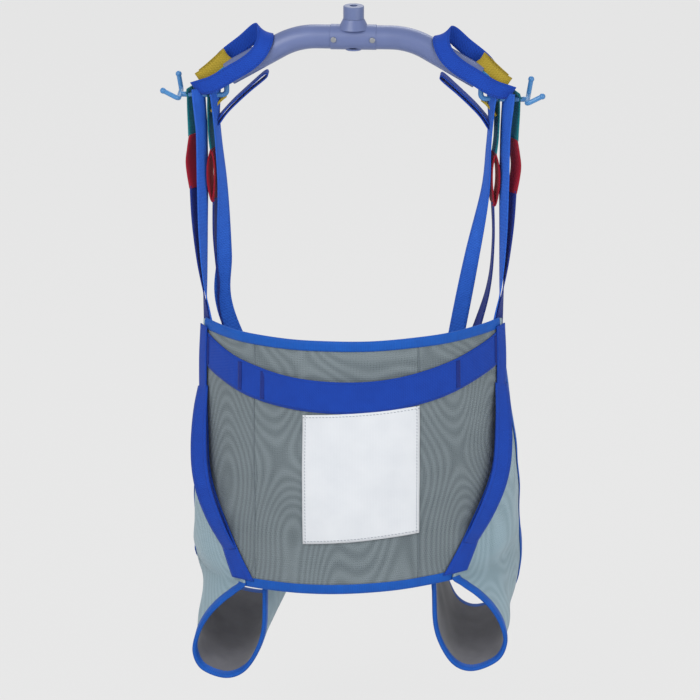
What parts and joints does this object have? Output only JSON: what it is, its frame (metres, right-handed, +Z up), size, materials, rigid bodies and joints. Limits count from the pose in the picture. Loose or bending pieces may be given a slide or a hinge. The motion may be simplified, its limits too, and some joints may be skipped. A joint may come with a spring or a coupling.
{
  "type": "patient lift sling with spreader bar",
  "caption": "Body support sling for a patient lift: curved mesh back panel, leg sections, webbing straps with colour-coded loops, hung from a two-point swivelling spreader bar.",
  "frame": {"origin": "centre of the top face of the swivel stem", "axes": "+Z up along the swivel's axis, +X along the bar, +Y from the sling's back to its open front"},
  "size_m": [0.5752, 0.2888, 1.0047],
  "materials": {
    "stem_paint": "satin",
    "bar_paint": "satin",
    "zinc_steel": "satin",
    "end_plastic": "satin",
    "hook_coating": "gloss",
    "webbing_blue": "woven",
    "webbing_navy": "woven",
    "webbing_green": "woven",
    "webbing_red": "woven",
    "webbing_yellow": "woven",
    "binding_tape": "woven",
    "spacer_mesh": "knitted",
    "lining_cloth": "brushed",
    "label_cloth": "woven"
  },
  "bodies": {
    "hoist_coupling": {"swivel_stem": "stem_paint", "thrust_washer": "zinc_steel", "spindle_nut": "zinc_steel"},
    "spreader_bar": {"hub_bottom_cap": "bar_paint", "hub_casting": "bar_paint", "left_arm": "bar_paint", "left_arm_screw": "zinc_steel", "left_hook": "hook_coating", "left_hook_end": "end_plastic", "left_shoulder_tail_loop": "webbing_blue", "left_shoulder_yellow_loop": "webbing_yellow", "right_arm": "bar_paint", "right_arm_screw": "zinc_steel", "right_hook": "hook_coating", "right_hook_end": "end_plastic", "right_shoulder_tail_loop": "webbing_blue", "right_shoulder_yellow_loop": "webbing_yellow"},
    "sling": {"back_panel": "spacer_mesh", "back_strap": "webbing_blue", "bottom_binding": "binding_tape", "care_label": "label_cloth", "left_front_binding": "binding_tape", "left_front_leg_binding": "binding_tape", "left_handle": "webbing_blue", "left_leg_green_loop": "webbing_green", "left_leg_lining": "lining_cloth", "left_leg_lower_web": "webbing_navy", "left_leg_red_loop": "webbing_red", "left_leg_tail_loop": "webbing_blue", "left_leg_webbing": "webbing_blue", "left_leg_yellow_loop": "webbing_yellow", "left_rear_leg_binding": "binding_tape", "left_shoulder_green_loop": "webbing_green", "left_shoulder_lower_web": "webbing_navy", "left_shoulder_red_loop": "webbing_red", "left_shoulder_webbing": "webbing_blue", "left_side_panel": "spacer_mesh", "left_side_strap": "webbing_blue", "right_front_binding": "binding_tape", "right_front_leg_binding": "binding_tape", "right_handle": "webbing_blue", "right_leg_green_loop": "webbing_green", "right_leg_lining": "lining_cloth", "right_leg_lower_web": "webbing_navy", "right_leg_red_loop": "webbing_red", "right_leg_tail_loop": "webbing_blue", "right_leg_webbing": "webbing_blue", "right_leg_yellow_loop": "webbing_yellow", "right_rear_leg_binding": "binding_tape", "right_shoulder_green_loop": "webbing_green", "right_shoulder_lower_web": "webbing_navy", "right_shoulder_red_loop": "webbing_red", "right_shoulder_webbing": "webbing_blue", "right_side_panel": "spacer_mesh", "right_side_strap": "webbing_blue", "top_binding": "binding_tape"}
  },
  "joints": [
    {"name": "bar_swivel", "type": "hinge", "parent": "hoist_coupling", "child": "spreader_bar", "pos_m": [0, 0, -0.05], "axis": [0, 0, 1], "continuous": true},
    {"name": "sling_swing", "type": "hinge", "parent": "spreader_bar", "child": "sling", "pos_m": [0, 0, -0.14], "axis": [1, 0, 0], "range_deg": [-15, 15]}
  ]
}
